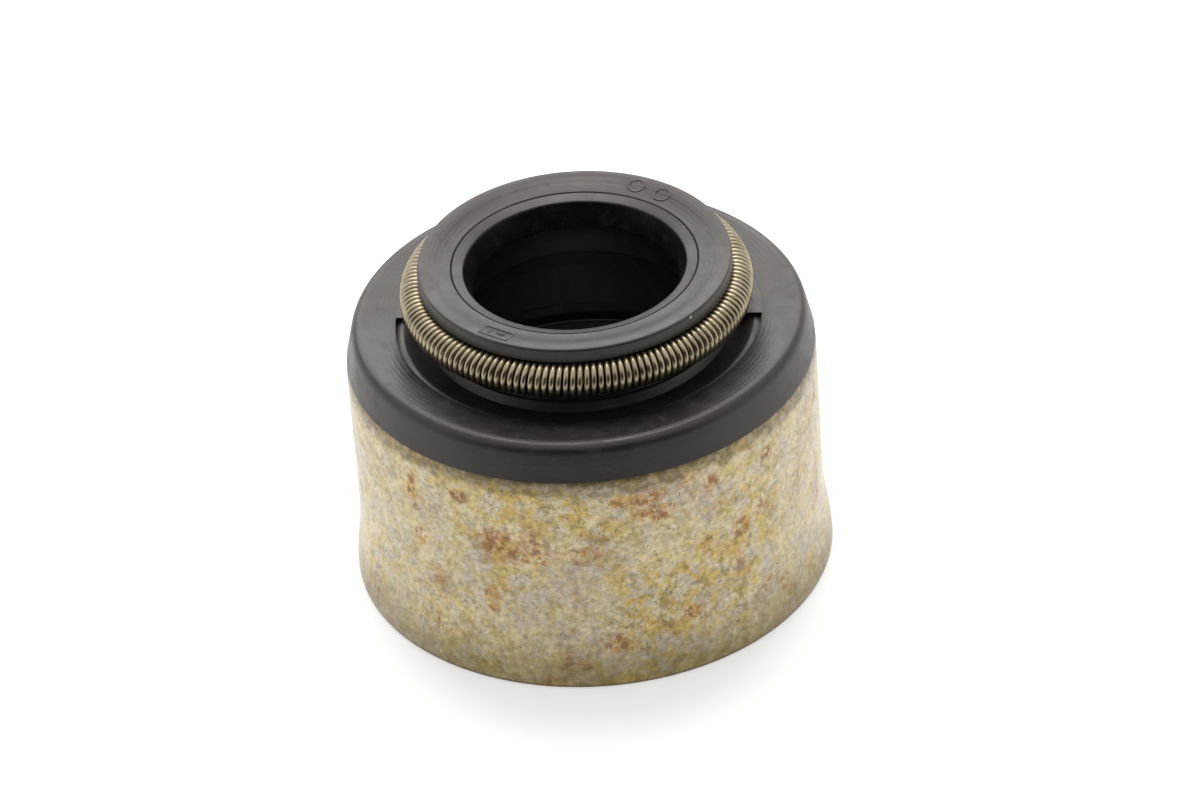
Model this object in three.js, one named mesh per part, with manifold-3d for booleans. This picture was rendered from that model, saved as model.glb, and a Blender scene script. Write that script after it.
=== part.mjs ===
// Valve stem seal: a drawn steel case, the rubber moulded round it, and the garter spring on its head.
// Millimetres, +Z up. The origin is the centre of the case's open end, which stands on the ground.
// The front, where the shoulder has its recess, faces -Y.

import * as THREE from "three";
import { mergeVertices } from "three/addons/utils/BufferGeometryUtils.js";
import Module from "manifold-3d";

const wasm = await Module();
wasm.setup();

// What the seal fits: the valve's stem through its lip, and the valve guide in its sleeve.
const STEM_RADIUS = 3.5;
const LIP_PINCH = 0.2; // how much the free lip is smaller than the stem
const MOUTH_CLEARANCE = 0.07; // how much the mouth above the lip is larger than the stem

// The steel case.
const STEEL = 0.5; // sheet thickness
const SLEEVE_RADIUS = 7.56; // outside
const BELL_FLARE = 0.22; // how far the open end is belled out
const BELL_HEIGHT = 2.6;
const CASE_HEIGHT = 8.6; // to the top of the flange
const CASE_CORNER = 1.0; // outside radius of the rounded top corner
const FLANGE_WIDTH = 2.26; // from the sleeve's outside in to the flange's hole

// The rubber over the case: its lap down the corner, its shoulder, and the lining inside.
const BOND_GAP = 0.02; // between the rubber's faces and the steel's
const LAP_DEPTH = 0.65; // from the case's top down to the rubber's outer edge
const LAP_EDGE = 0.05; // thickness of that edge
const SHOULDER_THICKNESS = 0.6; // over the flange
const SHOULDER_INSET = 0.34; // of the lap's cone at its top, from the sleeve's outside
const SHOULDER_DROP = 0.32; // from the shoulder's top to that cone
const SHOULDER_DISH = 0.14; // how far the shoulder falls from that rounding to the recess
const SHOULDER_ROUND = 0.42; // width of the rounding from the shoulder's flat to that cone
const SEAT_THICKNESS = 0.15; // under the flange, where the guide's end stops
const SEAT_HOLE_RADIUS = 4.45;
const LINING_THICKNESS = 1.16; // at the lands, which grip a guide of 6 mm radius by 0.12 mm
const LINING_FOOT = 1.13; // height of the lining's lower end above the ground
const LINING_LEAD = 0.35; // chamfer that leads the guide in
const GRIP_GROOVES = 3;
const GRIP_GROOVE_HEIGHT = 0.68;
const GRIP_GROOVE_DEPTH = 0.3;
const GRIP_LAND_HEIGHT = 0.62; // each land between two grooves, and the one under the lowest
const GRIP_GROOVE_SLOPE = 0.12;

// The recess in the front half of the shoulder: a narrow groove, a thin rib inside it, and a wider channel.
const RECESS_RADIUS = 5.88;
const RECESS_GROOVE_WIDTH = 0.18;
const RECESS_GROOVE_DEPTH = 0.18;
const RECESS_RIB_WIDTH = 0.12;
const RECESS_RIB_DROP = 0.05;
const RECESS_CHANNEL_DEPTH = 0.28;

// The neck and the head.
const NECK_RADIUS = 4.62;
const NECK_FOOT = 0.24; // radius of the fillet at the neck's foot
const HEAD_RADIUS = 5.04;
const HEAD_BAND = 0.48; // height of the head's side above the spring groove
const HEAD_EDGE = 0.09; // how far the face's outer edge is drawn in
const FACE_RING_RADIUS = 3.95; // where the face's inner ring starts
const FACE_DISH = 0.14; // how far the face falls from its edge to that ring
const MOUTH_DROP = 0.11; // and from there to the mouth
const LIP_DEPTH = 0.8; // from the mouth down to the lip's edge
const LIP_BACK = 0.4; // height of the slope behind the lip's edge
const THROAT_RADIUS = 3.82; // behind the lip
const BACK_STEP_RADIUS = 4.04; // the throat's wider lower part
const BACK_STEP_HEIGHT = 0.97; // above the seat
const BACK_RIM_HEIGHT = 0.22; // edge of the throat at the seat
const MOUTH_EDGE = 0.06;

// The garter spring.
const GROOVE_RADIUS = 4.48; // bottom of the groove in the head
const SPRING_SEAT_CLEARANCE = 0.03;
const COIL_RADIUS = 0.58; // outside of the coil
const WIRE_RADIUS = 0.09;
const TURN_GAP = 0.006; // between neighbouring turns, where they are closest
const SPRING_STAND = 1.0; // of the spring's centre above the shoulder

// Fineness of the surfaces.
const ROUND_STEPS = 60; // of a full turn about the seal's axis
const CORNER_STEPS = 2;
const CASE_CORNER_STEPS = 3;
const BELL_STEPS = 4;
const SPRING_GROOVE_STEPS = 6;
const COIL_STEPS = 8; // of one turn of wire
const WIRE_SIDES = 3;

// Heights and radii that follow from the sizes above.
const lipRadius = STEM_RADIUS - LIP_PINCH;
const mouthRadius = STEM_RADIUS + MOUTH_CLEARANCE;
const liningRadius = SLEEVE_RADIUS - STEEL - BOND_GAP;
const landRadius = liningRadius - LINING_THICKNESS;
const flangeHoleRadius = SLEEVE_RADIUS - FLANGE_WIDTH;
const shoulderRadius = SLEEVE_RADIUS - SHOULDER_INSET;
const flatRadius = shoulderRadius - SHOULDER_ROUND;
const flangeUnder = CASE_HEIGHT - STEEL;
const seatHeight = flangeUnder - SEAT_THICKNESS;
const shoulderHeight = CASE_HEIGHT + SHOULDER_THICKNESS;
const dishHeight = shoulderHeight - SHOULDER_DISH;
const springHeight = shoulderHeight + SPRING_STAND;
const grooveCurve = COIL_RADIUS + SPRING_SEAT_CLEARANCE;
const springRadius = GROOVE_RADIUS + grooveCurve;
const cornerRadius = SLEEVE_RADIUS - CASE_CORNER;
const cornerHeight = CASE_HEIGHT - CASE_CORNER;

// Points of an arc about (radius, height), from one angle in degrees to another.
function arc(radius, height, curve, from, to, steps) {
  const start = THREE.MathUtils.degToRad(from);
  const end = THREE.MathUtils.degToRad(to);
  return new THREE.EllipseCurve(radius, height, curve, curve, start, end, end < start).getPoints(steps);
}

// A corner of a profile, rounded to the given size or to what its two sides have room for.
function softened(before, corner, after, size) {
  const room = 0.45 * Math.min(corner.distanceTo(before), corner.distanceTo(after));
  const reach = Math.min(size, room);
  const start = corner.clone().add(before.clone().sub(corner).setLength(reach));
  const end = corner.clone().add(after.clone().sub(corner).setLength(reach));
  return new THREE.QuadraticBezierCurve(start, corner, end).getPoints(CORNER_STEPS);
}

// A closed profile turned about the seal's axis. Its points run down the outside and up the inside.
function turned(profile) {
  const closed = [...profile, profile[0]].reverse();
  return new THREE.LatheGeometry(closed, ROUND_STEPS).rotateX(Math.PI / 2);
}

// The steel wall's bell at the open end: how far out it stands at each height.
function bell(radius, topFirst) {
  const points = [];
  for (let i = 0; i <= BELL_STEPS; i += 1) {
    const share = i / BELL_STEPS;
    const flare = (BELL_FLARE * (1 + Math.cos(Math.PI * share))) / 2;
    points.push(new THREE.Vector2(radius + flare, BELL_HEIGHT * share));
  }
  return topFirst ? points.reverse() : points;
}

function metalCase() {
  const outside = arc(cornerRadius, cornerHeight, CASE_CORNER, 90, 0, CASE_CORNER_STEPS);
  const inside = arc(cornerRadius, cornerHeight, CASE_CORNER - STEEL, 0, 90, CASE_CORNER_STEPS);
  const profile = [
    new THREE.Vector2(flangeHoleRadius, flangeUnder),
    new THREE.Vector2(flangeHoleRadius, CASE_HEIGHT),
    ...outside,
    ...bell(SLEEVE_RADIUS, true),
    ...bell(SLEEVE_RADIUS - STEEL, false),
    ...inside,
  ];
  return turned(profile);
}

// The lining's back, which follows the bell down to the lining's foot.
function liningBack() {
  const wall = bell(liningRadius, true);
  const above = wall.filter((point) => point.y > LINING_FOOT);
  const upper = above[above.length - 1];
  const lower = wall[above.length];
  const share = (upper.y - LINING_FOOT) / (upper.y - lower.y);
  return [...above, upper.clone().lerp(lower, share)];
}

// The lining's inner face, from its foot up to the seat: a lead-in, then lands and grooves in turn.
function liningFace() {
  const points = [
    new THREE.Vector2(landRadius + LINING_LEAD, LINING_FOOT),
    new THREE.Vector2(landRadius, LINING_FOOT + LINING_LEAD),
  ];
  let height = LINING_FOOT + LINING_LEAD;
  for (let i = 0; i < GRIP_GROOVES; i += 1) {
    const low = height + GRIP_LAND_HEIGHT;
    const high = low + GRIP_GROOVE_HEIGHT;
    points.push(new THREE.Vector2(landRadius, low));
    points.push(new THREE.Vector2(landRadius + GRIP_GROOVE_DEPTH, low + GRIP_GROOVE_SLOPE));
    points.push(new THREE.Vector2(landRadius + GRIP_GROOVE_DEPTH, high - GRIP_GROOVE_SLOPE));
    points.push(new THREE.Vector2(landRadius, high));
    height = high;
  }
  points.push(new THREE.Vector2(landRadius, seatHeight));
  return points;
}

// The rubber's outline, down the outside from the mouth, round the flange, and up the inside.
function sealProfile() {
  const rimHeight = springHeight + grooveCurve;
  const faceHeight = rimHeight + HEAD_BAND;
  const ringHeight = faceHeight - FACE_DISH;
  const mouthHeight = ringHeight - MOUTH_DROP;
  const lipHeight = mouthHeight - LIP_DEPTH;

  const mouth = new THREE.Vector2(mouthRadius, mouthHeight);
  const faceRing = new THREE.Vector2(FACE_RING_RADIUS, ringHeight);
  const faceEdge = new THREE.Vector2(HEAD_RADIUS - HEAD_EDGE, faceHeight);
  const headSide = new THREE.Vector2(HEAD_RADIUS, faceHeight - HEAD_EDGE);
  const lip = new THREE.Vector2(lipRadius, lipHeight);

  const rimAngle = THREE.MathUtils.radToDeg(Math.acos((HEAD_RADIUS - springRadius) / grooveCurve));
  const groove = arc(springRadius, springHeight, grooveCurve, rimAngle, 245, SPRING_GROOVE_STEPS);
  const neckTop = new THREE.Vector2(NECK_RADIUS, groove[groove.length - 1].y - NECK_FOOT / 2);
  const neckFoot = new THREE.Vector2(NECK_RADIUS, dishHeight);
  const dishEdge = new THREE.Vector2(RECESS_RADIUS, dishHeight);
  const flatEdge = new THREE.Vector2(flatRadius, shoulderHeight);
  const shoulderCorner = new THREE.Vector2(shoulderRadius, shoulderHeight);
  const coneTop = new THREE.Vector2(shoulderRadius, shoulderHeight - SHOULDER_DROP);

  // The lap ends on the case's rounded corner, and the bonded faces keep the same small gap to the steel.
  const bondedCorner = CASE_CORNER + BOND_GAP;
  const lapHeight = CASE_HEIGHT - LAP_DEPTH;
  const lapAngle = THREE.MathUtils.radToDeg(Math.asin((lapHeight - cornerHeight) / bondedCorner));
  const overCorner = arc(cornerRadius, cornerHeight, bondedCorner, lapAngle, 90, CASE_CORNER_STEPS);
  const lapEdge = new THREE.Vector2(overCorner[0].x + LAP_EDGE, lapHeight);
  const underCorner = arc(cornerRadius, cornerHeight, CASE_CORNER - STEEL - BOND_GAP, 90, 0, CASE_CORNER_STEPS);

  return [
    ...softened(lip, mouth, faceRing, MOUTH_EDGE),
    faceRing,
    faceEdge,
    headSide,
    ...groove,
    neckTop,
    ...softened(neckTop, neckFoot, dishEdge, NECK_FOOT),
    dishEdge,
    ...new THREE.QuadraticBezierCurve(flatEdge, shoulderCorner, coneTop).getPoints(2 * CORNER_STEPS),
    lapEdge,
    ...overCorner,
    new THREE.Vector2(flangeHoleRadius - BOND_GAP, CASE_HEIGHT + BOND_GAP),
    new THREE.Vector2(flangeHoleRadius - BOND_GAP, flangeUnder - BOND_GAP),
    ...underCorner,
    ...liningBack(),
    ...liningFace(),
    new THREE.Vector2(SEAT_HOLE_RADIUS, seatHeight),
    new THREE.Vector2(SEAT_HOLE_RADIUS, seatHeight + BACK_RIM_HEIGHT),
    new THREE.Vector2(BACK_STEP_RADIUS, seatHeight + BACK_RIM_HEIGHT),
    new THREE.Vector2(BACK_STEP_RADIUS, seatHeight + BACK_STEP_HEIGHT),
    new THREE.Vector2(THROAT_RADIUS, seatHeight + BACK_STEP_HEIGHT),
    new THREE.Vector2(THROAT_RADIUS, lipHeight - LIP_BACK),
    lip,
  ];
}

// The front half of a flat ring that opens at the top of the shoulder's dish.
function halfRing(outer, inner, depth) {
  const shape = new THREE.Shape();
  shape.absarc(0, 0, outer, Math.PI, 2 * Math.PI, false);
  shape.absarc(0, 0, inner, 2 * Math.PI, Math.PI, true);
  shape.closePath();
  const above = SHOULDER_THICKNESS / 8;
  const ring = new THREE.ExtrudeGeometry(shape, {
    depth: depth + above,
    bevelEnabled: false,
    curveSegments: ROUND_STEPS / 4,
  });
  return ring.translate(0, 0, dishHeight - depth);
}

function solid(geometry) {
  const bare = geometry.clone();
  bare.deleteAttribute("normal");
  bare.deleteAttribute("uv");
  const merged = mergeVertices(bare, 1e-4);
  const vertProperties = new Float32Array(merged.attributes.position.array);
  const triVerts = new Uint32Array(merged.index.array);
  return new wasm.Manifold(new wasm.Mesh({ numProp: 3, vertProperties, triVerts }));
}

function geometryOf(manifold) {
  const mesh = manifold.getMesh();
  const geometry = new THREE.BufferGeometry();
  geometry.setAttribute("position", new THREE.BufferAttribute(mesh.vertProperties, 3));
  geometry.setIndex(new THREE.BufferAttribute(mesh.triVerts, 1));
  geometry.computeVertexNormals();
  return geometry;
}

function sealBody() {
  const ribRadius = RECESS_RADIUS - RECESS_GROOVE_WIDTH;
  const groove = halfRing(RECESS_RADIUS, ribRadius, RECESS_GROOVE_DEPTH);
  const channel = halfRing(ribRadius - RECESS_RIB_WIDTH, NECK_RADIUS + NECK_FOOT, RECESS_CHANNEL_DEPTH);
  const rib = halfRing(ribRadius, ribRadius - RECESS_RIB_WIDTH, RECESS_RIB_DROP);
  let rubber = solid(turned(sealProfile()));
  for (const cut of [groove, rib, channel]) {
    rubber = rubber.subtract(solid(cut));
  }
  return geometryOf(rubber);
}

// One wire wound as a close coil whose axis is a ring, its end joined to its start.
function garterSpring() {
  const centreLine = COIL_RADIUS - WIRE_RADIUS;
  const tightest = 2 * Math.PI * (springRadius - centreLine);
  const turns = Math.floor(tightest / (2 * WIRE_RADIUS + TURN_GAP));
  const stations = turns * COIL_STEPS;

  const wireCentre = (step) => {
    const around = (2 * Math.PI * step) / stations;
    const coil = (2 * Math.PI * step) / COIL_STEPS;
    const radius = springRadius + centreLine * Math.cos(coil);
    const height = springHeight + centreLine * Math.sin(coil);
    return new THREE.Vector3(radius * Math.sin(around), -radius * Math.cos(around), height);
  };
  const coilNormal = (step) => {
    const around = (2 * Math.PI * step) / stations;
    const coil = (2 * Math.PI * step) / COIL_STEPS;
    const out = Math.cos(coil);
    return new THREE.Vector3(out * Math.sin(around), -out * Math.cos(around), Math.sin(coil));
  };

  const positions = [];
  for (let step = 0; step < stations; step += 1) {
    const centre = wireCentre(step);
    const normal = coilNormal(step);
    const along = wireCentre(step + 0.5).sub(wireCentre(step - 0.5)).normalize();
    const side = new THREE.Vector3().crossVectors(along, normal).normalize();
    for (let k = 0; k < WIRE_SIDES; k += 1) {
      const turn = (2 * Math.PI * k) / WIRE_SIDES;
      const point = centre.clone();
      point.addScaledVector(normal, WIRE_RADIUS * Math.cos(turn));
      point.addScaledVector(side, WIRE_RADIUS * Math.sin(turn));
      positions.push(point.x, point.y, point.z);
    }
  }

  const corner = (step, k) => (step % stations) * WIRE_SIDES + (k % WIRE_SIDES);
  const index = [];
  for (let step = 0; step < stations; step += 1) {
    for (let k = 0; k < WIRE_SIDES; k += 1) {
      index.push(corner(step, k), corner(step + 1, k + 1), corner(step + 1, k));
      index.push(corner(step, k), corner(step, k + 1), corner(step + 1, k + 1));
    }
  }

  const geometry = new THREE.BufferGeometry();
  geometry.setAttribute("position", new THREE.Float32BufferAttribute(positions, 3));
  geometry.setIndex(index);
  geometry.computeVertexNormals();
  return geometry;
}

const patinatedSteel = new THREE.MeshStandardMaterial({ color: 0xb5a888, roughness: 0.45, metalness: 0.8 });
const sealRubber = new THREE.MeshStandardMaterial({ color: 0x3a3534, roughness: 0.55, metalness: 0 });
const springSteel = new THREE.MeshStandardMaterial({ color: 0xb8b09c, roughness: 0.3, metalness: 1 });

const pieces = [
  ["metal_case", metalCase(), patinatedSteel],
  ["seal_body", sealBody(), sealRubber],
  ["garter_spring", garterSpring(), springSteel],
];

const valveStemSeal = new THREE.Group();
for (const [name, geometry, material] of pieces) {
  const mesh = new THREE.Mesh(geometry, material);
  mesh.name = name;
  valveStemSeal.add(mesh);
}

export default valveStemSeal;
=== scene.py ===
"""A valve stem seal on a white studio floor: drawn steel sleeve, moulded rubber, garter spring."""

import logging
import math
from dataclasses import dataclass, field
from enum import Enum
from typing import Any, Callable

import bmesh
import bpy
from mathutils import Matrix, Vector


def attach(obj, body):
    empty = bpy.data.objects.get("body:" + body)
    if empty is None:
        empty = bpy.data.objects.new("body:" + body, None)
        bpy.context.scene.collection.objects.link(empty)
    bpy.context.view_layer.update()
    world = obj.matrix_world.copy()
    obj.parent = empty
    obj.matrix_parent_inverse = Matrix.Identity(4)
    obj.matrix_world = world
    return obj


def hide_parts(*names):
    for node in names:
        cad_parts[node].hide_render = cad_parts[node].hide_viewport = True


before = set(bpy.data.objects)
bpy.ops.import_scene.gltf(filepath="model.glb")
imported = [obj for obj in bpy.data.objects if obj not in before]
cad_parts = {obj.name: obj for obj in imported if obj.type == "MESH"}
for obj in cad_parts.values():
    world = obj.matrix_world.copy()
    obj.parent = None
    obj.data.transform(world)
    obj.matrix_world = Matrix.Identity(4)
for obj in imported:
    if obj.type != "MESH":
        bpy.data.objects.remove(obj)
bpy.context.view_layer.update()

MM = 0.001
BODY = "root"
BELL_FLARE = 0.22  # how far the sleeve's open end is belled out, in millimetres
BELL_HEIGHT = 2.6
log = logging.getLogger("valve_stem_seal")

Point = tuple[float, float]


class Slot(Enum):
    """The record's material slots."""

    SLEEVE = "sleeve_steel"
    RUBBER = "seal_rubber"
    SPRING = "spring_steel"


def linear(colour: str) -> tuple[float, float, float, float]:
    """Turn an sRGB hex colour into linear light.

    Args:
        colour: Six hex digits with a leading #.

    Returns:
        Red, green, blue and an alpha of 1.
    """
    parts = [int(colour[i : i + 2], 16) / 255 for i in (1, 3, 5)]
    red, green, blue = ((c / 12.92) if c <= 0.04045 else ((c + 0.055) / 1.055) ** 2.4 for c in parts)
    return red, green, blue, 1.0


def add(
    tree: bpy.types.NodeTree, kind: str, settings: dict[str, Any] | None = None, **inputs: Any
) -> bpy.types.Node:
    """Add a node with its settings, values and links.

    Args:
        tree: The tree that gets the node.
        kind: The node's type name.
        settings: Attributes of the node itself.
        **inputs: A value or an output socket for each input. in_0 is the input of that index, and any other
            name is the input's name with underscores for spaces.

    Returns:
        The new node.
    """
    node = tree.nodes.new(kind)
    for name, value in (settings or {}).items():
        setattr(node, name, value)
    for name, value in inputs.items():
        key: int | str = int(name[3:]) if name.startswith("in_") else name.replace("_", " ")
        socket = node.inputs[key]
        if isinstance(value, bpy.types.NodeSocket):
            tree.links.new(value, socket)
        else:
            socket.default_value = value
    return node


def seen_rays(tree: bpy.types.NodeTree) -> bpy.types.NodeSocket:
    """Tell the rays that show the background from those that only carry light.

    Args:
        tree: The tree that gets the nodes.

    Returns:
        1 for what the camera, a reflection or clear matter shows, and 0 for soft light.
    """
    rays = add(tree, "ShaderNodeLightPath").outputs
    larger = {"operation": "MAXIMUM"}
    seen = add(tree, "ShaderNodeMath", larger, in_0=rays["Is Camera Ray"], in_1=rays["Is Glossy Ray"])
    both = add(tree, "ShaderNodeMath", larger, in_0=seen.outputs[0], in_1=rays["Is Transmission Ray"])
    return both.outputs[0]


class Surface:
    """A procedural material in the making: its tree, its Object coordinates and common patterns."""

    def __init__(self, name: str) -> None:
        """Start an empty material with its shader and output.

        Args:
            name: The material's name.
        """
        self.material = bpy.data.materials.new(name)
        self.material.use_nodes = True
        self.tree = self.material.node_tree
        self.tree.nodes.clear()
        self.shader = add(self.tree, "ShaderNodeBsdfPrincipled")
        add(self.tree, "ShaderNodeOutputMaterial", Surface=self.shader.outputs["BSDF"])
        self.place = add(self.tree, "ShaderNodeTexCoord").outputs["Object"]
        split = add(self.tree, "ShaderNodeSeparateXYZ", Vector=self.place)
        self.x, self.y, self.z = split.outputs

    def set(self, **inputs: Any) -> None:
        """Set or link the shader's own sockets.

        Args:
            **inputs: As for add.
        """
        for name, value in inputs.items():
            socket = self.shader.inputs[name.replace("_", " ")]
            if isinstance(value, bpy.types.NodeSocket):
                self.tree.links.new(value, socket)
            else:
                socket.default_value = value

    def math(self, operation: str, *values: Any, clamp: bool = False) -> bpy.types.NodeSocket:
        """Work out one step of arithmetic.

        Args:
            operation: The Math node's operation.
            *values: Numbers or sockets.
            clamp: Whether the result is kept between 0 and 1.

        Returns:
            The result's socket.
        """
        inputs = {f"in_{i}": value for i, value in enumerate(values)}
        settings = {"operation": operation, "use_clamp": clamp}
        return add(self.tree, "ShaderNodeMath", settings, **inputs).outputs[0]

    def stretched(self, x: float, y: float, z: float) -> bpy.types.NodeSocket:
        """Object coordinates scaled along each axis, for patterns that run one way.

        Args:
            x: Scale along X.
            y: Scale along Y.
            z: Scale along Z.

        Returns:
            The scaled coordinates.
        """
        return add(self.tree, "ShaderNodeMapping", Vector=self.place, Scale=(x, y, z)).outputs[0]

    def noise(
        self, size_mm: float, detail: float = 3.0, rough: float = 0.55, warp: float = 0.0, seed: float = 0.0,
        place: bpy.types.NodeSocket | None = None,
    ) -> bpy.types.NodeSocket:
        """Soft noise whose blotches have a real size.

        Args:
            size_mm: Size of a blotch in millimetres.
            detail: Octaves of finer noise.
            rough: Strength of the finer noise.
            warp: How much the noise is distorted.
            seed: Which noise.
            place: Coordinates, if not the Object ones.

        Returns:
            Values around 0.5.
        """
        node = add(
            self.tree, "ShaderNodeTexNoise", {"noise_dimensions": "4D"}, Vector=place or self.place, W=seed,
            Scale=1 / (size_mm * MM), Detail=detail, Roughness=rough, Distortion=warp,
        )
        return node.outputs["Fac"]

    def step(self, value: bpy.types.NodeSocket, low: float, high: float) -> bpy.types.NodeSocket:
        """Turn a value into a mask that rises from 0 at low to 1 at high.

        Args:
            value: The value to judge.
            low: Where the mask is 0.
            high: Where it is 1; below low, the mask falls instead.

        Returns:
            The mask.
        """
        settings = {"interpolation_type": "SMOOTHSTEP"}
        return add(self.tree, "ShaderNodeMapRange", settings, in_0=value, in_1=low, in_2=high).outputs[0]

    def mix(self, mask: Any, first: Any, second: Any, blend: str = "MIX") -> bpy.types.NodeSocket:
        """Lay one colour over another.

        Args:
            mask: How much of the second shows.
            first: Colour underneath, a hex string or a socket.
            second: Colour on top, a hex string or a socket.
            blend: The way the two are mixed.

        Returns:
            The mixed colour.
        """
        tones = [linear(tone) if isinstance(tone, str) else tone for tone in (first, second)]
        node = add(
            self.tree, "ShaderNodeMix", {"data_type": "RGBA", "blend_type": blend},
            in_0=mask, in_6=tones[0], in_7=tones[1],
        )
        return node.outputs[2]

    def patch(
        self, radius: float, azimuth: float, height: float, wide: float, tall: float
    ) -> bpy.types.NodeSocket:
        """A soft patch on a round wall.

        Args:
            radius: The wall's radius in millimetres.
            azimuth: Where the patch is round the wall, in degrees from the front.
            height: Its height in millimetres.
            wide: Half its width in millimetres.
            tall: Half its height in millimetres.

        Returns:
            The mask.
        """
        turn = math.radians(azimuth)
        spot = (radius * math.sin(turn) * MM, -radius * math.cos(turn) * MM, height * MM)
        sizes = (1 / (wide * MM), 1 / (wide * MM), 1 / (tall * MM))
        kind = "ShaderNodeVectorMath"
        away = add(self.tree, kind, {"operation": "SUBTRACT"}, in_0=self.place, in_1=spot)
        scaled = add(self.tree, kind, {"operation": "MULTIPLY"}, in_0=away.outputs[0], in_1=sizes)
        length = add(self.tree, kind, {"operation": "LENGTH"}, in_0=scaled.outputs[0])
        return self.step(length.outputs["Value"], 1.35, 0.55)

    def radius(self) -> bpy.types.NodeSocket:
        """Distance from the seal's axis."""
        squares = [self.math("MULTIPLY", side, side) for side in (self.x, self.y)]
        return self.math("SQRT", self.math("ADD", *squares))

    def bump(self, height: bpy.types.NodeSocket, depth_mm: float, normal: Any = None) -> bpy.types.NodeSocket:
        """Raise the surface by a height pattern.

        Args:
            height: Pattern from 0 to 1.
            depth_mm: What a height of 1 stands for, in millimetres.
            normal: Another bump to add to.

        Returns:
            The bent normal.
        """
        node = add(self.tree, "ShaderNodeBump", Height=height, Strength=1.0, Distance=depth_mm * MM)
        if normal is not None:
            self.tree.links.new(normal, node.inputs["Normal"])
        return node.outputs[0]


@dataclass(frozen=True)
class PatinatedSteel:
    """Deep-drawn mild steel, oiled and stored: a grey sheet under a yellow film, with rust in spots.

    The sheet keeps a soft metallic gloss, the film gives olive and straw patches, and the rust kills the
    gloss. A thin coat of dried oil whitens the sides where the wall turns away.
    """

    sheet: str = "#d6c7a2"
    sheet_cool: str = "#c2b7a3"
    sheet_lilac: str = "#c4b1a3"
    straw: str = "#c9ad58"
    olive: str = "#94844a"
    gold: str = "#c48f3e"
    rust: str = "#a5672f"
    rust_core: str = "#5a3d20"
    speck: str = "#54472f"
    band: str = "#655535"
    worn: str = "#6f6447"
    # foot and rim: partly patina, partly painted shade near the floor.
    foot: str = "#74642f"
    rim: str = "#5a4220"
    streak: str = "#7c7058"
    fine_dark: str = "#a4a4a4"
    fine_light: str = "#ffffff"
    gloss: float = 0.42
    oil: float = 0.45
    corner_height_mm: float = 7.5
    sleeve_radius_mm: float = 7.56
    stains: tuple[tuple[float, float, float, float], ...] = (
        (-42.5, 6.3, 0.24, 0.75), (-17.5, 5.3, 0.85, 0.65), (-20.6, 3.2, 0.25, 0.6), (20.6, 6.4, 0.7, 0.35),
        (17.2, 7.1, 0.9, 0.3), (28.4, 2.2, 0.4, 0.3), (52.8, 6.8, 0.35, 0.25), (-41.0, 4.6, 0.25, 0.4),
        (10.0, 1.6, 0.6, 0.35), (44.0, 4.6, 0.35, 0.35), (36.0, 6.9, 0.3, 0.25), (-28.0, 6.9, 0.35, 0.3),
    )

    def sheet_tones(self, s: Surface) -> bpy.types.NodeSocket:
        """The bare sheet and its yellow film.

        Args:
            s: The material in the making.

        Returns:
            The colour.
        """
        colour = s.mix(s.step(s.noise(0.9, 5, 0.65, 0.3, 3), 0.42, 0.60), self.sheet, self.sheet_cool)
        lilac = s.step(s.noise(0.8, 5, 0.65, 0.3, 5), 0.52, 0.66)
        colour = s.mix(s.math("MULTIPLY", lilac, 0.8), colour, self.sheet_lilac)
        zones = s.step(s.noise(3.2, 2, 0.5, 0.2, 9), 0.36, 0.62)
        film = s.step(s.noise(0.55, 7, 0.70, 0.3, 11), 0.46, 0.56)
        film = s.math("MULTIPLY", film, s.math("ADD", 0.25, s.math("MULTIPLY", zones, 0.65)))
        colour = s.mix(film, colour, self.straw)
        thick = s.step(s.noise(0.42, 6, 0.72, 0.3, 23), 0.50, 0.60)
        thick = s.math("MULTIPLY", thick, s.math("ADD", 0.3, s.math("MULTIPLY", zones, 0.5)))
        return s.mix(thick, colour, self.olive)

    def rust_masks(self, s: Surface) -> list[bpy.types.NodeSocket]:
        """Where the rust has come through.

        Args:
            s: The material in the making.

        Returns:
            The masks of the golden halo, of the rust and of its dark cores.
        """
        cluster = s.math("MULTIPLY", s.step(s.noise(1.7, 3, 0.6, 0.3, 31), 0.55, 0.68), 0.75)
        for stain in self.stains:
            cluster = s.math("MAXIMUM", cluster, s.patch(self.sleeve_radius_mm, *stain))
        halo = s.step(s.noise(0.3, 5, 0.68, 0.3, 39), 0.40, 0.55)
        spots = s.step(s.noise(0.3, 4, 0.62, 0.3, 41), 0.50, 0.57)
        cores = s.step(s.noise(0.16, 4, 0.66, 0.3, 47), 0.57, 0.66)
        return [s.math("MULTIPLY", cluster, mask) for mask in (halo, spots, cores)]

    def make(self) -> bpy.types.Material:
        """Build the material.

        Returns:
            The finished material.
        """
        s = Surface("drawn_steel_oil_patina")
        height = s.math("DIVIDE", s.z, MM)
        colour = self.sheet_tones(s)
        halo, rust, cores = self.rust_masks(s)
        colour = s.mix(s.math("MULTIPLY", halo, 0.7), colour, self.gold)
        colour = s.mix(s.math("MULTIPLY", rust, 0.7), colour, self.rust)
        colour = s.mix(s.math("MULTIPLY", cores, 0.8), colour, self.rust_core)

        grain = s.noise(0.11, 3, 0.7, 0, 53)
        many = s.step(s.noise(1.4, 3, 0.6, 0.2, 57), 0.3, 0.62)
        colour = s.mix(s.math("MULTIPLY", s.step(grain, 0.58, 0.70), many), colour, self.speck)
        tone = s.step(s.noise(0.17, 5, 0.75, 0, 59), 0.34, 0.66)
        colour = s.mix(0.6, colour, s.mix(tone, self.fine_dark, self.fine_light), "MULTIPLY")
        worn = s.step(s.noise(0.28, 6, 0.75, 0, 65), 0.56, 0.66)
        colour = s.mix(s.math("MULTIPLY", worn, 0.28), colour, self.worn)

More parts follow.
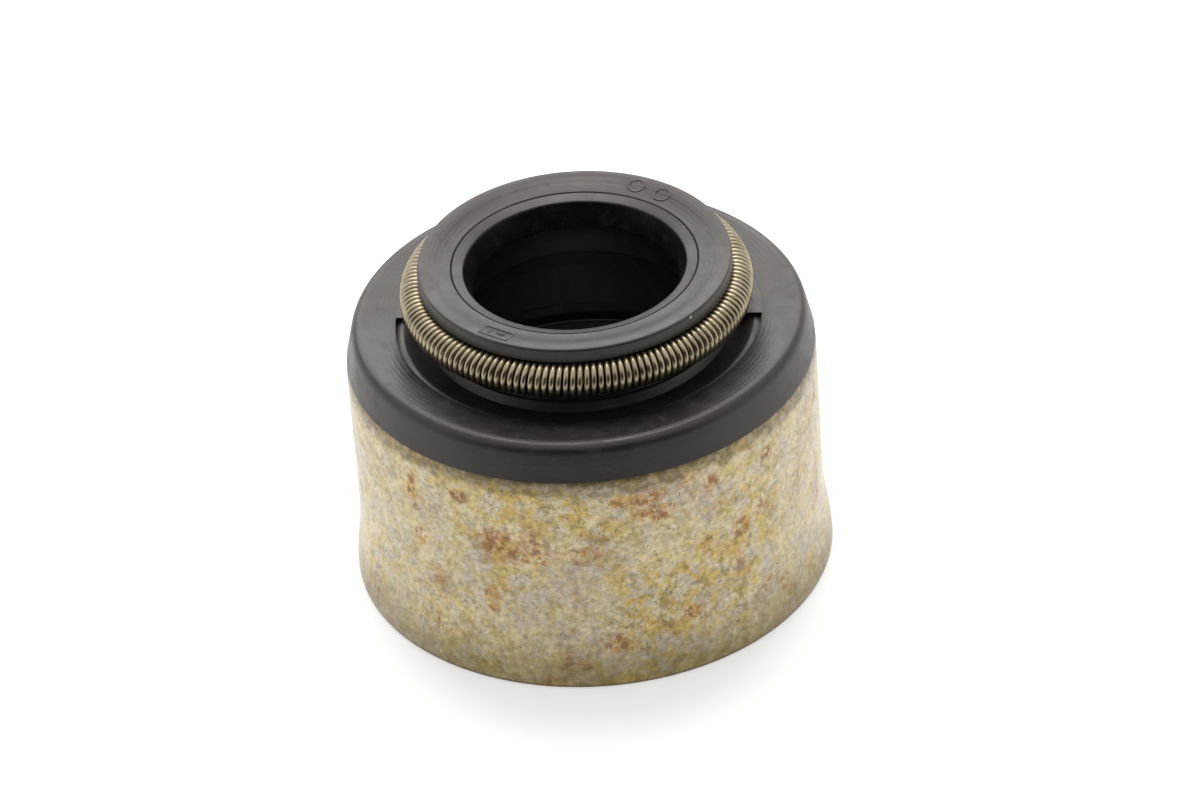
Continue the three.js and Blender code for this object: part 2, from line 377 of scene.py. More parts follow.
        wobble = s.math("MULTIPLY", s.math("SUBTRACT", s.noise(0.6, 5, 0.65, 0.3, 61), 0.5), 1.1)
        level = s.math("ADD", height, wobble)
        top = s.step(level, self.corner_height_mm - 0.25, self.corner_height_mm + 0.1)
        patchy = s.math("ADD", 0.5, s.math("MULTIPLY", s.step(s.noise(0.3, 5, 0.7, 0, 67), 0.42, 0.58), 0.4))
        colour = s.mix(s.math("MULTIPLY", top, patchy), colour, self.band)
        # Darker towards the bottom and along the bottom edge: partly patina, partly painted shade of the
        # shadowed floor that the foot reflects.
        foot = s.step(level, 2.2, -0.1)
        blotches = s.step(s.noise(0.4, 5, 0.7, 0.2, 69), 0.40, 0.60)
        blotches = s.math("ADD", 0.45, s.math("MULTIPLY", blotches, 0.35))
        colour = s.mix(s.math("MULTIPLY", foot, blotches), colour, self.foot)
        rim = s.step(height, 0.16, 0.05)
        colour = s.mix(s.math("MULTIPLY", rim, 0.7), colour, self.rim)

        streaks = s.noise(0.2, 3, 0.6, 0, 71, s.stretched(1, 1, 0.08))
        drawn = s.step(streaks, 0.56, 0.68)
        colour = s.mix(s.math("MULTIPLY", drawn, 0.22), colour, self.streak)

        rough = s.math("ADD", self.gloss - 0.08, s.math("MULTIPLY", grain, 0.16))
        rough = s.math("ADD", rough, s.math("MULTIPLY", rust, 0.3), clamp=True)
        pits = s.bump(s.noise(0.1, 3, 0.6, 0, 83), 0.006)
        lines = s.bump(streaks, 0.004, pits)
        s.set(
            Base_Color=colour, Roughness=rough, Normal=lines, Coat_Weight=self.oil, Coat_Roughness=0.22,
            Metallic=s.math("SUBTRACT", 0.75, s.math("MULTIPLY", rust, 0.6)),
        )
        return s.material


@dataclass(frozen=True)
class MouldedRubber:
    """Fluorocarbon rubber, compression moulded: dark brown-grey and satin, with the mould's turning marks."""

    body: str = "#1c1817"
    film: str = "#282322"
    # Painted shade colour for the inside of the mouth.
    inside: str = "#0d0b0a"
    mottle: str = "#453f3c"
    smear: str = "#3a3432"
    sheen: str = "#fff4ee"
    ior: float = 1.55
    dust: str = "#b9b2a6"
    gloss: float = 0.40
    ring_pitch_mm: float = 0.16

    def make(self) -> bpy.types.Material:
        """Build the material.

        Returns:
            The finished material.
        """
        s = Surface("moulded_fluoro_rubber")
        bloom = s.step(s.noise(1.4, 5, 0.6, 0.4, 5), 0.35, 0.7)
        colour = s.mix(s.math("MULTIPLY", bloom, 0.5), self.body, self.film)
        mottle = s.noise(0.12, 3, 0.6, 0, 7)
        colour = s.mix(s.math("MULTIPLY", s.step(mottle, 0.6, 0.8), 0.3), colour, self.mottle)

        cells = add(s.tree, "ShaderNodeTexVoronoi", Vector=s.place, Scale=1 / (1.3 * MM), Randomness=1.0)
        shades = add(s.tree, "ShaderNodeSeparateColor", Color=cells.outputs["Color"])
        picked = s.step(shades.outputs[0], 0.72, 0.73)
        near = s.step(cells.outputs["Distance"], 0.055, 0.035)
        colour = s.mix(s.math("MULTIPLY", picked, near), colour, self.dust)
        grit = add(s.tree, "ShaderNodeTexVoronoi", Vector=s.place, Scale=1 / (0.24 * MM), Randomness=1.0)
        tints = add(s.tree, "ShaderNodeSeparateColor", Color=grit.outputs["Color"])
        chosen = s.step(tints.outputs[1], 0.80, 0.82)
        small = s.math("MULTIPLY", chosen, s.step(grit.outputs["Distance"], 0.13, 0.07))
        inner_edge = s.step(s.radius(), 4.15 * MM, 3.95 * MM)
        clumps = s.math("MAXIMUM", s.step(s.noise(1.5, 3, 0.6, 0, 37), 0.42, 0.6), inner_edge)
        on_face = s.math("MULTIPLY", s.step(s.z, 10.95 * MM, 11.0 * MM), clumps)
        colour = s.mix(s.math("MULTIPLY", s.math("MULTIPLY", small, on_face), 0.55), colour, self.dust)

        # Painted shade: inside the mouth the lip's cone is darkened to near black, standing for the bore's
        # own shadow.
        within = s.step(s.radius(), 3.63 * MM, 3.57 * MM)
        bore_shade = s.math("MULTIPLY", within, s.step(s.z, 11.08 * MM, 11.0 * MM))
        colour = s.mix(s.math("MULTIPLY", bore_shade, 0.8), colour, self.inside)
        smears = s.step(s.noise(0.5, 4, 0.65, 0.5, 43), 0.52, 0.66)
        colour = s.mix(s.math("MULTIPLY", smears, 0.3), colour, self.smear)

        turns_per_metre = 2 * math.pi / (self.ring_pitch_mm * MM)
        rings = s.math("SINE", s.math("MULTIPLY", s.radius(), turns_per_metre))
        broken = s.math("MULTIPLY", rings, s.step(s.noise(1.8, 2, 0.5, 0, 13), 0.35, 0.6))
        turned = s.bump(broken, 0.0012)
        skin = s.bump(s.noise(0.09, 2, 0.5, 0, 17), 0.0035, turned)
        rough = s.math("ADD", self.gloss, s.math("MULTIPLY", s.math("SUBTRACT", bloom, 0.5), 0.1))
        rough = s.math("ADD", rough, s.math("MULTIPLY", smears, 0.08))
        # The same painted shade also turns the reflection down inside the mouth.
        shine = s.math("SUBTRACT", 0.5, s.math("MULTIPLY", bore_shade, 0.32))
        s.set(
            Base_Color=colour, Roughness=rough, Normal=skin, IOR=self.ior, Specular_IOR_Level=shine,
            Specular_Tint=linear(self.sheen),
        )
        return s.material


@dataclass(frozen=True)
class SpringWire:
    """Cold-drawn spring wire, patented and lightly oiled: bright, slightly yellow, sharp highlights."""

    bright: str = "#aba086"
    dull: str = "#7a705a"
    gloss: float = 0.27

    def make(self) -> bpy.types.Material:
        """Build the material.

        Returns:
            The finished material.
        """
        s = Surface("drawn_spring_wire")
        film = s.step(s.noise(0.9, 4, 0.6, 0.3, 19), 0.4, 0.65)
        colour = s.mix(s.math("MULTIPLY", film, 0.55), self.bright, self.dull)
        rough = s.math("ADD", self.gloss, s.math("MULTIPLY", s.noise(0.2, 2, 0.5, 0, 29), 0.08))
        s.set(Base_Color=colour, Roughness=rough, Metallic=1.0)
        return s.material


def eased(before: Point, corner: Point, after: Point, size: float, steps: int = 4) -> list[Point]:
    """Round one corner of an outline.

    Args:
        before: The point before the corner.
        corner: The corner.
        after: The point after it.
        size: How far from the corner the rounding starts, in millimetres.
        steps: Pieces of the curve.

    Returns:
        The points that take the corner's place.
    """
    corner_v, before_v, after_v = Vector(corner), Vector(before), Vector(after)
    reach = min(size, 0.48 * (before_v - corner_v).length, 0.48 * (after_v - corner_v).length)
    start = corner_v + (before_v - corner_v).normalized() * reach
    end = corner_v + (after_v - corner_v).normalized() * reach
    points = []
    for i in range(steps + 1):
        t = i / steps
        points.append(tuple((1 - t) ** 2 * start + 2 * t * (1 - t) * corner_v + t**2 * end))
    return points


def arc(centre: Point, radius: float, start: float, end: float, steps: int) -> list[Point]:
    """Points along an arc.

    Args:
        centre: Radius and height of the arc's centre.
        radius: The arc's radius.
        start: First angle in degrees.
        end: Last angle in degrees.
        steps: Pieces of the arc.

    Returns:
        The points, both ends included.
    """
    angles = [math.radians(start + (end - start) * i / steps) for i in range(steps + 1)]
    return [(centre[0] + radius * math.cos(a), centre[1] + radius * math.sin(a)) for a in angles]


def bell(radius: float, foot: float = 0.0, steps: int = 14) -> list[Point]:
    """The curve of a wall that follows the sleeve's bell, from the ground up.

    Args:
        radius: The wall's radius above the bell.
        foot: Height at which the wall starts.
        steps: Pieces of the curve.

    Returns:
        The curve's points.
    """
    points = []
    for i in range(steps + 1):
        height = foot + (BELL_HEIGHT - foot) * i / steps
        points.append((radius + BELL_FLARE * (1 + math.cos(math.pi * height / BELL_HEIGHT)) / 2, height))
    return points


def mesh_object(name: str, mesh: bpy.types.Mesh, material: bpy.types.Material) -> bpy.types.Object:
    """Put a mesh into the scene with its material.

    Args:
        name: The object's name.
        mesh: Its mesh, in place.
        material: Its material.

    Returns:
        The object, at the origin.
    """
    mesh.materials.clear()
    mesh.materials.append(material)
    piece = bpy.data.objects.new(name, mesh)
    bpy.context.scene.collection.objects.link(piece)
    return piece


def finish_mesh(build: bmesh.types.BMesh, name: str, sharp_deg: float = 40.0) -> bpy.types.Mesh:
    """Close, orient and smooth a built mesh.

    Args:
        build: The mesh under construction, which is freed.
        name: The mesh's name.
        sharp_deg: Edges that turn by more than this stay sharp.

    Returns:
        The finished mesh.
    """
    bmesh.ops.remove_doubles(build, verts=build.verts, dist=1e-7)
    bmesh.ops.recalc_face_normals(build, faces=build.faces)
    mesh = bpy.data.meshes.new(name)
    build.to_mesh(mesh)
    build.free()
    mesh.shade_smooth()
    mesh.set_sharp_from_angle(angle=math.radians(sharp_deg))
    return mesh


def revolve(
    points: list[Point], name: str, azimuths: list[float], lift: Callable[[Point, float], float]
) -> bpy.types.Mesh:
    """Turn a closed outline about the seal's axis.

    Args:
        points: The outline, in millimetres.
        name: The mesh's name.
        azimuths: Angles of the copies in degrees; 0 is the front, at -Y, and 90 the right.
        lift: Gives how much a point of the outline is raised at an azimuth, in millimetres.

    Returns:
        The closed mesh.
    """
    build = bmesh.new()
    columns = []
    for azimuth in azimuths:
        sine, cosine = math.sin(math.radians(azimuth)), math.cos(math.radians(azimuth))
        column = []
        for point in points:
            radius, height = point[0] * MM, (point[1] + lift(point, azimuth)) * MM
            column.append(build.verts.new((radius * sine, -radius * cosine, height)))
        columns.append(column)
    for i, column in enumerate(columns):
        following = columns[(i + 1) % len(columns)]
        for j, corner in enumerate(column):
            k = (j + 1) % len(column)
            build.faces.new((corner, following[j], following[k], column[k]))
    return finish_mesh(build, name)


def even_azimuths(count: int) -> list[float]:
    """Evenly spaced azimuths of a full turn."""
    return [360 * i / count for i in range(count)]


def level(_point: Point, _azimuth: float) -> float:
    """No lift anywhere."""
    return 0.0


@dataclass
class MetalCase:
    """The drawn steel sleeve with its belled foot and inward flange. Sizes in millimetres."""

    steel: float = 0.5
    sleeve_radius: float = 7.56
    height: float = 8.6
    corner: float = 1.0
    flange_hole_radius: float = 5.3
    rim_rounding: float = 0.09
    segments: int = 192
    finish: PatinatedSteel = field(default_factory=PatinatedSteel)

    def make(self) -> bpy.types.Object:
        """Build the sleeve.

        Returns:
            The piece.
        """
        centre = (self.sleeve_radius - self.corner, self.height - self.corner)
        outer = bell(self.sleeve_radius)
        inner = bell(self.sleeve_radius - self.steel)
        foot = eased(outer[2], outer[0], inner[0], self.rim_rounding)
        foot += eased(outer[0], inner[0], inner[2], self.rim_rounding)
        points = arc(centre, self.corner, 90, 0, 10) + outer[:1:-1] + foot + inner[2:]
        points += arc(centre, self.corner - self.steel, 0, 90, 8)
        under = self.height - self.steel
        points += [(self.flange_hole_radius, under), (self.flange_hole_radius, self.height)]
        mesh = revolve(points, "steel_sleeve", even_azimuths(self.segments), level)
        return mesh_object("steel_sleeve", mesh, self.finish.make())


@dataclass
class SealBody:
    """The moulded rubber: lap, shoulder, neck, head, lips and the ribbed lining. Sizes in millimetres."""

    bond_gap: float = 0.02
    case_top: float = 8.6
    lap_height: float = 7.95
    lap_radius: float = 7.54
    shoulder: float = 9.2
    dish: float = 9.06
    shoulder_radius: float = 7.26
    recess: tuple[Point, ...] = (
        (5.88, 0.0), (5.87, 0.14), (5.83, 0.17), (5.78, 0.16), (5.72, 0.13), (5.66, 0.12), (5.58, 0.14),
        (5.45, 0.18), (5.25, 0.24), (5.1, 0.27), (4.92, 0.26),
    )
    recess_half_deg: float = 90.0
    recess_end_deg: float = 0.12
    neck_radius: float = 4.62
    head_radius: float = 5.04
    face_edge_height: float = 11.29
    ring_radius: float = 3.95
    ring_height: float = 11.15
    ring_line: float = 0.035
    step_radius: float = 4.5
    step_rise: float = 0.018
    mouth: Point = (3.57, 11.04)
    lip: Point = (3.3, 10.24)
    spring_centre: Point = (5.09, 10.2)
    groove_curve: float = 0.61
    land_radius: float = 5.88
    groove_depth: float = 0.3
    groove_height: float = 0.68
    groove_ease: float = 0.12
    land_height: float = 0.62
    grooves: int = 3
    seat_height: float = 7.95
    seat_hole_radius: float = 4.45
    back_step_radius: float = 4.04
    throat_radius: float = 3.82
    lining_radius: float = 7.04
    lining_foot: float = 1.13
    lining_lead: float = 0.35
    case_steel: float = 0.5
    case_corner: float = 1.0
    case_corner_centre: Point = (6.56, 7.6)
    flange_hole_radius: float = 5.3
    segments: int = 240
    finish: MouldedRubber = field(default_factory=MouldedRubber)

    def head(self) -> list[Point]:
        """The head from the mouth out over the face and round the spring groove.

        Returns:
            The outline's points.
        """
        ring, line = (self.ring_radius, self.ring_height), self.ring_line
        slope = (self.face_edge_height - self.ring_height) / (self.head_radius - self.ring_radius)
        edge = (self.head_radius, self.face_edge_height)
        rim = math.degrees(math.acos((self.head_radius - self.spring_centre[0]) / self.groove_curve))
        groove = arc(self.spring_centre, self.groove_curve, rim, 245, 18)
        points = eased(self.lip, self.mouth, ring, 0.06)
        points += [(ring[0] - line, ring[1] - 0.01), (ring[0], ring[1] - 0.05), (ring[0] + line, ring[1])]
        step_height = ring[1] + slope * (self.step_radius - ring[0])
        points += [(self.step_radius, step_height), (self.step_radius + 0.03, step_height + self.step_rise)]
        points += eased(ring, edge, groove[0], 0.11)
        return points + groove

    def shoulder_top(self) -> list[Point]:
        """The neck's foot, the dished shoulder with the recess's stations, and the lap.

        Returns:
            The outline's points.
        """
        outer, inner = self.recess[0][0], self.recess[-1][0]
        foot = eased((self.neck_radius, 9.6), (self.neck_radius, self.dish), (inner, self.dish), 0.22)
        floor = [(radius, self.dish) for radius, _ in reversed(self.recess)]
        floor.append((outer + 0.03, self.dish + 0.005))
        corner = (self.shoulder_radius, self.shoulder)
        lap = (self.lap_radius, self.lap_height)
        curve = eased((6.0, 9.08), corner, lap, 0.36, 14)
        last = curve[-1]
        run, drop = lap[0] - last[0], lap[1] - last[1]
        side = [(last[0] + run * share, last[1] + drop * share) for share in (0.06, 0.12, 0.4, 0.7, 0.95)]
        return foot + floor + curve + side + [lap]

    def sunk(self, point: Point, azimuth: float) -> float:
        """How much the recess lowers a point of the shoulder.

        Args:
            point: A point of the outline.
            azimuth: Its angle, where 0 is the front.

        Returns:
            The lift, which is negative in the recess.
        """
        turned = (azimuth + 180) % 360 - 180
        if abs(turned) > self.recess_half_deg or abs(point[1] - self.dish) > 1e-6:
            return 0.0
        return -dict(self.recess).get(point[0], 0.0)

    def lining(self) -> list[Point]:
        """The lining from its foot up to the seat: a lead-in, then lands and grooves.

        Returns:
            The outline's points.
        """
        land, foot, lead, ease = self.land_radius, self.lining_foot, self.lining_lead, self.groove_ease
        groove = land + self.groove_depth
        points = bell(self.lining_radius, foot)[::-1] + [(land + lead, foot), (land, foot + lead)]
        low = foot + lead
        for _ in range(self.grooves):
            low += self.land_height
            high = low + self.groove_height
            points += eased((land, low - 0.3), (land, low), (groove, low + ease), 0.08)
            points += [(groove, low + ease), (groove, high - ease)]
            points += eased((groove, high - ease), (land, high), (land, high + 0.3), 0.08)
            low = high
        return points + [(land, self.seat_height)]

    def throat(self) -> list[Point]:
        """The bore from the seat up to the sealing lip, with the back lip's steps.

        Returns:
            The outline's points.
        """
        seat, hole = self.seat_height, self.seat_hole_radius
        step, wall = self.back_step_radius, self.throat_radius
        below_lip = (wall, self.lip[1] - 0.4)
        points = eased((hole + 0.25, seat), (hole, seat), (hole, seat + 0.2), 0.06)
        points += [(hole - 0.02, seat + 0.22), (step + 0.08, seat + 0.24), (step, seat + 0.3)]
        points += [(step, seat + 0.93), (step - 0.04, seat + 0.97)]
        points += [(wall + 0.02, seat + 0.97), (wall, seat + 1.0), below_lip]
        return points + eased(below_lip, self.lip, self.mouth, 0.05)

    def make(self) -> bpy.types.Object:
        """Build the rubber.

        Returns:
            The piece.
        """
        gap, top, centre = self.bond_gap, self.case_top, self.case_corner_centre
        outer, inner = self.case_corner + gap, self.case_corner - self.case_steel - gap
        hole = self.flange_hole_radius - gap
        lap_angle = math.degrees(math.asin((self.lap_height - centre[1]) / outer))
        bonded = arc(centre, outer, lap_angle, 90, 10)
        bonded += [(hole, top + gap), (hole, top - self.case_steel - gap)]
        bonded += arc(centre, inner, 90, 0, 8)
        points = self.head() + self.shoulder_top() + bonded + self.lining() + self.throat()
        end = self.recess_half_deg + self.recess_end_deg
        azimuths = sorted(even_azimuths(self.segments) + [end, 360 - end])
        mesh = revolve(points, "rubber_body", azimuths, self.sunk)
        return mesh_object("rubber_body", mesh, self.finish.make())


@dataclass
class GarterSpring:
    """The close-wound ring spring, laid out by a node tree. Sizes in millimetres."""

    ring_radius: float = 5.09
    height: float = 10.2
    coil_radius: float = 0.58
    wire_radius: float = 0.093
    turns: int = 155
    steps: int = 22
    sides: int = 9
    finish: SpringWire = field(default_factory=SpringWire)

    def tree(self) -> bpy.types.NodeTree:
        """A ring of points bent into a coil whose axis is a circle, swept with the wire's section.

        Returns:
            The node tree, with its sizes as named inputs.
        """
        tree = bpy.data.node_groups.new("wound_ring", "GeometryNodeTree")
        sockets = (
            ("Ring Radius", "NodeSocketFloat"), ("Coil Radius", "NodeSocketFloat"),
            ("Wire Radius", "NodeSocketFloat"), ("Height", "NodeSocketFloat"), ("Turns", "NodeSocketInt"),
            ("Steps", "NodeSocketInt"), ("Sides", "NodeSocketInt"), ("Material", "NodeSocketMaterial"),
        )
        for name, kind in sockets:
            tree.interface.new_socket(name, in_out="INPUT", socket_type=kind)
        tree.interface.new_socket("Geometry", in_out="OUTPUT", socket_type="NodeSocketGeometry")
        size = add(tree, "NodeGroupInput").outputs

        def sums(operation: str, *values: Any) -> bpy.types.NodeSocket:
            """One step of arithmetic in the tree."""
            inputs = {f"in_{i}": value for i, value in enumerate(values)}
            return add(tree, "ShaderNodeMath", {"operation": operation}, **inputs).outputs[0]

        count = sums("MULTIPLY", size["Turns"], size["Steps"])
        line = add(tree, "GeometryNodeCurvePrimitiveLine")
        points = add(tree, "GeometryNodeResampleCurve", Curve=line.outputs[0], Count=count)
        index = add(tree, "GeometryNodeInputIndex").outputs[0]
        around = sums("MULTIPLY", sums("DIVIDE", index, count), 2 * math.pi)
        coil = sums("MULTIPLY", sums("DIVIDE", index, size["Steps"]), 2 * math.pi)
        middle = sums("SUBTRACT", size["Coil Radius"], size["Wire Radius"])
        reach = sums("ADD", size["Ring Radius"], sums("MULTIPLY", middle, sums("COSINE", coil)))
        place = add(
            tree, "ShaderNodeCombineXYZ", X=sums("MULTIPLY", reach, sums("SINE", around)),
            Y=sums("MULTIPLY", sums("MULTIPLY", reach, sums("COSINE", around)), -1.0),
            Z=sums("ADD", size["Height"], sums("MULTIPLY", middle, sums("SINE", coil))),
        )
        bent = add(tree, "GeometryNodeSetPosition", Geometry=points.outputs[0], Position=place.outputs[0])
        closed = add(tree, "GeometryNodeSetSplineCyclic", Geometry=bent.outputs[0], Cyclic=True)
        wire = {"Resolution": size["Sides"], "Radius": size["Wire Radius"]}
        section = add(tree, "GeometryNodeCurvePrimitiveCircle", **wire).outputs[0]
        swept = add(tree, "GeometryNodeCurveToMesh", Curve=closed.outputs[0], Profile_Curve=section)
        smooth = add(tree, "GeometryNodeSetShadeSmooth", Geometry=swept.outputs[0])
        real = add(tree, "GeometryNodeRealizeInstances", Geometry=smooth.outputs[0])
        dressed = add(tree, "GeometryNodeSetMaterial", Geometry=real.outputs[0], Material=size["Material"])
        add(tree, "NodeGroupOutput", Geometry=dressed.outputs[0])
        return tree

    def make(self) -> bpy.types.Object:
        """Run the tree and keep its result as a plain mesh.

        Returns:
            The piece.
        """
        material = self.finish.make()
        tree = self.tree()
        values = {
            "Ring Radius": self.ring_radius * MM, "Coil Radius": self.coil_radius * MM,
            "Wire Radius": self.wire_radius * MM, "Height": self.height * MM, "Turns": self.turns,
            "Steps": self.steps, "Sides": self.sides, "Material": material,
        }
        holder = bpy.data.objects.new("garter_spring_wire", bpy.data.meshes.new("holder"))
        bpy.context.scene.collection.objects.link(holder)
        modifier = holder.modifiers.new("winding", "NODES")
        modifier.node_group = tree
        for item in tree.interface.items_tree:
            if item.item_type == "SOCKET" and item.in_out == "INPUT":
                modifier[item.identifier] = values[item.name]
        graph = bpy.context.evaluated_depsgraph_get()
        wound = bpy.data.meshes.new_from_object(holder.evaluated_get(graph))
        bpy.data.objects.remove(holder)
        build = bmesh.new()
        build.from_mesh(wound)
        mesh = finish_mesh(build, "garter_spring_wire", 80)
        return mesh_object("garter_spring_wire", mesh, material)


@dataclass
class MouldMarks:
    """Small raised marks on the head's face: two plain rings at the back, a frame with two bars in front."""

    ring_spots: tuple[Point, ...] = ((157.0, 4.5), (144.2, 4.46))
    ring_size: Point = (0.27, 0.27)
    frame_azimuth: float = -29.0
    frame_radius: float = 4.55
    frame_size: Point = (1.02, 0.48)
    bars: tuple[tuple[Point, Point], ...] = (
        ((-0.24, -0.1), (-0.24, 0.1)),
        ((0.02, 0.0), (0.28, 0.0)),
    )
    ring_points: int = 28
    section_points: int = 8
    face_ring: Point = (3.95, 11.15)
    face_slope: float = 0.1284
    step_radius: float = 4.5
    step_rise: float = 0.018
    step_end: float = 4.93
    step_run: float = 0.4
    line: float = 0.045

    def on_face(self, spot: Vector) -> Vector:
        """Lift a flat layout's point onto the dished face.

        Args:
            spot: Place along the face in X and Y, and height above the face in Z.

        Returns:
            The place on the seal.
        """
        radius = math.hypot(spot.x, spot.y)
        face = self.face_ring[1] + self.face_slope * (radius - self.face_ring[0])
        step = 0.0
        if radius > self.step_radius:
            step = self.step_rise * min(1.0, (self.step_end - radius) / self.step_run)
        return Vector((spot.x, spot.y, spot.z + face + step))

    def torus(self, build: bmesh.types.BMesh, azimuth: float, radius: float) -> None:
        """Add one oval ring that lies on the face.

        Args:
            build: The mesh under construction.
            azimuth: The ring's angle round the seal, in degrees.
            radius: Its distance from the axis.
        """
        turn = Matrix.Rotation(math.radians(azimuth), 4, "Z")
        rows = []
        wide, long = self.ring_size
        for i in range(self.ring_points):
            a = 2 * math.pi * i / self.ring_points
            row = []
            for j in range(self.section_points):
                b = 2 * math.pi * j / self.section_points
                reach = 1 + self.line * math.cos(b) / wide
                spot = Vector((wide * reach * math.cos(a), long * reach * math.sin(a), 0))
                spot += Vector((0, -radius, self.line * math.sin(b) * 0.55))
                row.append(build.verts.new(turn @ (self.on_face(spot) * MM)))
            rows.append(row)
        for i, row in enumerate(rows):
            after = rows[(i + 1) % len(rows)]
            for j in range(self.section_points):
                k = (j + 1) % self.section_points
                build.faces.new((row[j], after[j], after[k], row[k]))

    def bar(self, build: bmesh.types.BMesh, start: Point, end: Point) -> None:
        """Add one raised line of the frame.

        Args:
            build: The mesh under construction.
            start: One end, along and out from the frame's centre.
            end: The other end.
        """
        turn = Matrix.Rotation(math.radians(self.frame_azimuth), 4, "Z")
        run = Vector((end[0] - start[0], end[1] - start[1], 0))
        side = run.normalized().cross(Vector((0, 0, 1))) * self.line * 0.8
        rise = Vector((0, 0, self.line * 0.45))
        rows = []
        for end_point in (start, end):
            middle = Vector((end_point[0], -self.frame_radius + end_point[1], 0))
            section = (middle + side - rise, middle + side, middle + side * 0.5 + rise)
            section += (middle - side * 0.5 + rise, middle - side, middle - side - rise)
            rows.append([build.verts.new(turn @ (self.on_face(p) * MM)) for p in section])
        first, last = rows
        for j in range(len(first)):
            k = (j + 1) % len(first)
            build.faces.new((first[j], last[j], last[k], first[k]))
        build.faces.new(first[::-1])
        build.faces.new(last)

    def make(self, material: bpy.types.Material) -> bpy.types.Object:
        """Build the marks.

        Args:
            material: The rubber's material.

        Returns:
            The piece.
        """
        build = bmesh.new()
        for azimuth, radius in self.ring_spots:
            self.torus(build, azimuth, radius)
        half_x, half_y = self.frame_size[0] / 2, self.frame_size[1] / 2
        corners = [(-half_x, -half_y), (half_x, -half_y), (half_x, half_y), (-half_x, half_y)]
        for i, corner in enumerate(corners):
            self.bar(build, corner, corners[(i + 1) % 4])
        for start, end in self.bars:
            self.bar(build, start, end)
        return mesh_object("mould_marks", finish_mesh(build, "mould_marks"), material)


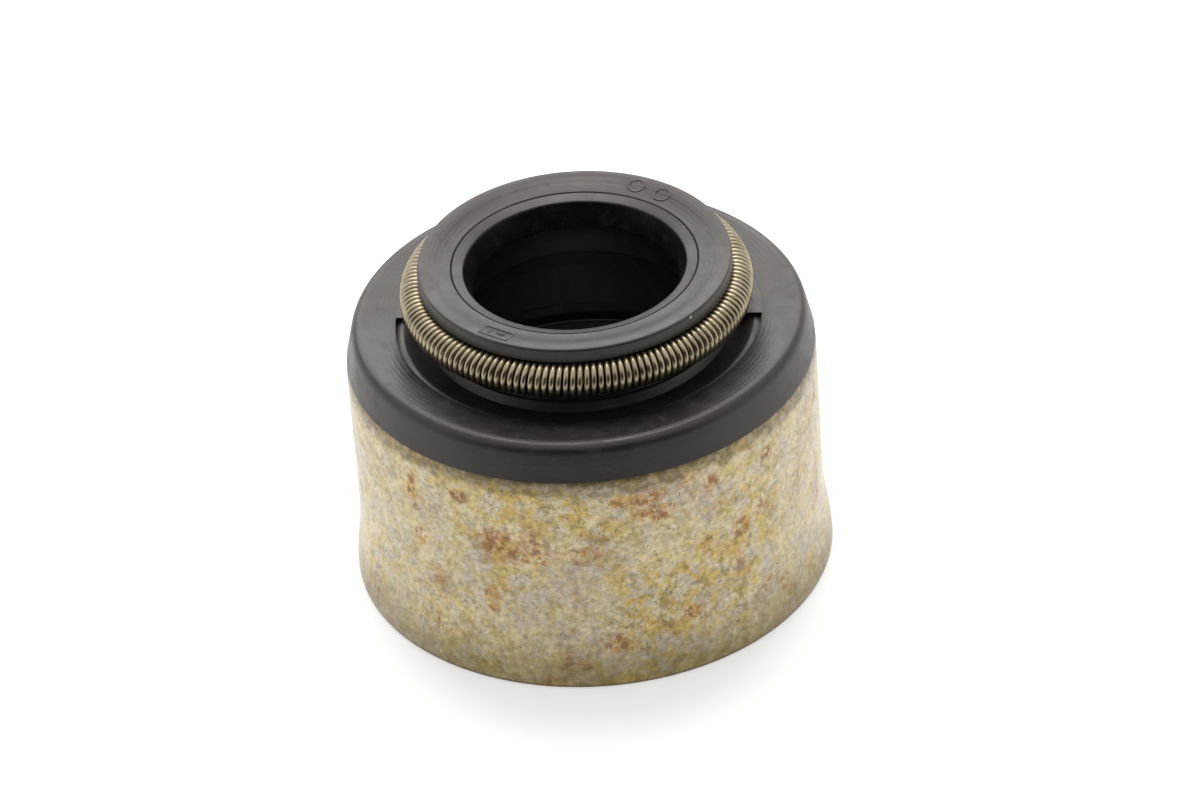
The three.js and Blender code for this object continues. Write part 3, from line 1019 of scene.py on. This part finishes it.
@dataclass
class Studio:
    """Floor, light and camera of the photograph."""

    focal_px: float = 6735.0
    image_width_px: float = 1200.0
    elevation_deg: float = 35.74
    azimuth_deg: float = 5.85
    roll_deg: float = 4.25
    distance_mm: float = 218.07
    target_height_mm: float = 5.0
    aside_mm: Point = (0.444, 0.573)
    sensor_mm: float = 36.0
    floor_glow: float = 0.4
    glow_edge_mm: Point = (7.3, 7.7)
    floor_half_size: float = 0.6

    def turned(self) -> Matrix:
        """The whole studio's turn about the seal's axis, so that the recess points a little left."""
        return Matrix.Rotation(math.radians(self.azimuth_deg), 4, "Z")

    def camera(self) -> None:
        """Create the camera at the photograph's angle, moved aside to place the seal as the photo does."""
        lean, roll = math.radians(self.elevation_deg), math.radians(self.roll_deg)
        ahead = Vector((0, math.cos(lean), -math.sin(lean)))
        right = Vector((1, 0, 0))
        up = right.cross(ahead)
        image_x = right * math.cos(roll) - up * math.sin(roll)
        image_y = right * math.sin(roll) + up * math.cos(roll)
        place = Vector((0, 0, self.target_height_mm)) - ahead * self.distance_mm
        place += image_x * self.aside_mm[0] + image_y * self.aside_mm[1]
        data = bpy.data.cameras.new("photo_camera")
        data.sensor_width = self.sensor_mm
        data.lens = self.focal_px * self.sensor_mm / self.image_width_px
        data.clip_start = 0.01
        camera = bpy.data.objects.new("photo_camera", data)
        turn = Matrix((image_x, image_y, -ahead)).transposed().to_4x4()
        camera.matrix_world = self.turned() @ Matrix.Translation(place * MM) @ turn
        bpy.context.scene.collection.objects.link(camera)
        bpy.context.scene.camera = camera

    def floor(self) -> None:
        """Lay the white floor, which keeps the seal's soft shadow."""
        build = bmesh.new()
        bmesh.ops.create_grid(build, x_segments=1, y_segments=1, size=self.floor_half_size)
        mesh = bpy.data.meshes.new("floor")
        build.to_mesh(mesh)
        build.free()
        material = bpy.data.materials.new("white_paper")
        material.use_nodes = True
        tree = material.node_tree
        tree.nodes.clear()
        paper = add(tree, "ShaderNodeBsdfDiffuse", Color=(0.93, 0.93, 0.92, 1))
        place = add(tree, "ShaderNodeTexCoord").outputs["Object"]
        away = add(tree, "ShaderNodeVectorMath", {"operation": "LENGTH"}, in_0=place).outputs["Value"]
        inner, outer = (radius * MM for radius in self.glow_edge_mm)
        outside = add(tree, "ShaderNodeMapRange", in_0=away, in_1=inner, in_2=outer, in_4=self.floor_glow)
        glow = add(tree, "ShaderNodeEmission", Color=(1, 1, 1, 1), Strength=outside.outputs[0])
        both = add(tree, "ShaderNodeAddShader", in_0=paper.outputs[0], in_1=glow.outputs[0])
        seen = seen_rays(tree)
        mixed = add(tree, "ShaderNodeMixShader", in_0=seen, in_1=paper.outputs[0], in_2=both.outputs[0])
        add(tree, "ShaderNodeOutputMaterial", Surface=mixed.outputs[0])
        mesh_object("floor", mesh, material)

    def world(self) -> None:
        """White surroundings: full white for what is seen, a softer level for the light itself."""
        world = bpy.data.worlds.new("white_tent")
        bpy.context.scene.world = world
        world.use_nodes = True
        tree = world.node_tree
        tree.nodes.clear()
        strength = add(tree, "ShaderNodeMapRange", in_0=seen_rays(tree), in_3=0.55, in_4=1.0)
        back = add(tree, "ShaderNodeBackground", Color=(1, 1, 1, 1), Strength=strength.outputs[0])
        add(tree, "ShaderNodeOutputWorld", Surface=back.outputs[0])

    def lamp(self, name: str, place_mm: tuple[float, float, float], size_mm: Point, power: float) -> None:
        """Hang one soft box that faces the seal.

        Args:
            name: The lamp's name.
            place_mm: Where it hangs.
            size_mm: Its width and height.
            power: Its power in watts.
        """
        data = bpy.data.lights.new(name, "AREA")
        data.shape = "RECTANGLE"
        data.size, data.size_y = size_mm[0] * MM, size_mm[1] * MM
        data.energy = power
        lamp = bpy.data.objects.new(name, data)
        place = Vector(place_mm)
        aim = place - Vector((0, 0, self.target_height_mm))
        facing = aim.to_track_quat("Z", "Y").to_matrix().to_4x4()
        lamp.matrix_world = self.turned() @ Matrix.Translation(place * MM) @ facing
        bpy.context.scene.collection.objects.link(lamp)

    def dark_room(self) -> None:
        """Hang a dark cloth behind the camera and lay it up to the seal; it only shows in reflections."""
        build = bmesh.new()
        wide, back, top, near, low = 340, -215, 210, -45, 0.5
        rows = ((back, top), (back, low), (near, low))
        edges = []
        for y, z in rows:
            edges.append([build.verts.new(self.turned() @ (Vector((x, y, z)) * MM)) for x in (-wide, wide)])
        for first, second in zip(edges, edges[1:]):
            build.faces.new((first[0], first[1], second[1], second[0]))
        mesh = bpy.data.meshes.new("dark_cloth")
        build.to_mesh(mesh)
        build.free()
        material = bpy.data.materials.new("dark_cloth")
        material.use_nodes = True
        tree = material.node_tree
        tree.nodes.clear()
        cloth = add(tree, "ShaderNodeBsdfDiffuse", Color=linear("#1c1c1c"))
        add(tree, "ShaderNodeOutputMaterial", Surface=cloth.outputs[0])
        cloth_piece = mesh_object("dark_cloth", mesh, material)
        cloth_piece.visible_camera = False
        cloth_piece.visible_diffuse = False
        cloth_piece.visible_shadow = False

    def make(self) -> None:
        """Set up the whole studio."""
        self.camera()
        self.floor()
        self.dark_room()
        self.world()
        self.lamp("top_box", (0, 110, 300), (170, 110), 0.36)
        self.lamp("back_box", (0, 300, 190), (420, 160), 0.6)
        scene = bpy.context.scene
        scene.view_settings.view_transform = "Standard"


def main() -> None:
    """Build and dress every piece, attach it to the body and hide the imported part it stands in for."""
    logging.basicConfig(level=logging.INFO, format="%(name)s: %(message)s")
    Studio().make()
    rubber = SealBody().make()
    parts = (
        (MetalCase().make(), "metal_case", Slot.SLEEVE),
        (rubber, "seal_body", Slot.RUBBER),
        (GarterSpring().make(), "garter_spring", Slot.SPRING),
        (MouldMarks().make(rubber.data.materials[0]), None, Slot.RUBBER),
    )
    for piece, node, slot in parts:
        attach(piece, BODY)
        if node:
            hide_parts(node)
        log.info("%s: %d faces", piece.name, len(piece.data.polygons))


if __name__ == "__main__":
    main()
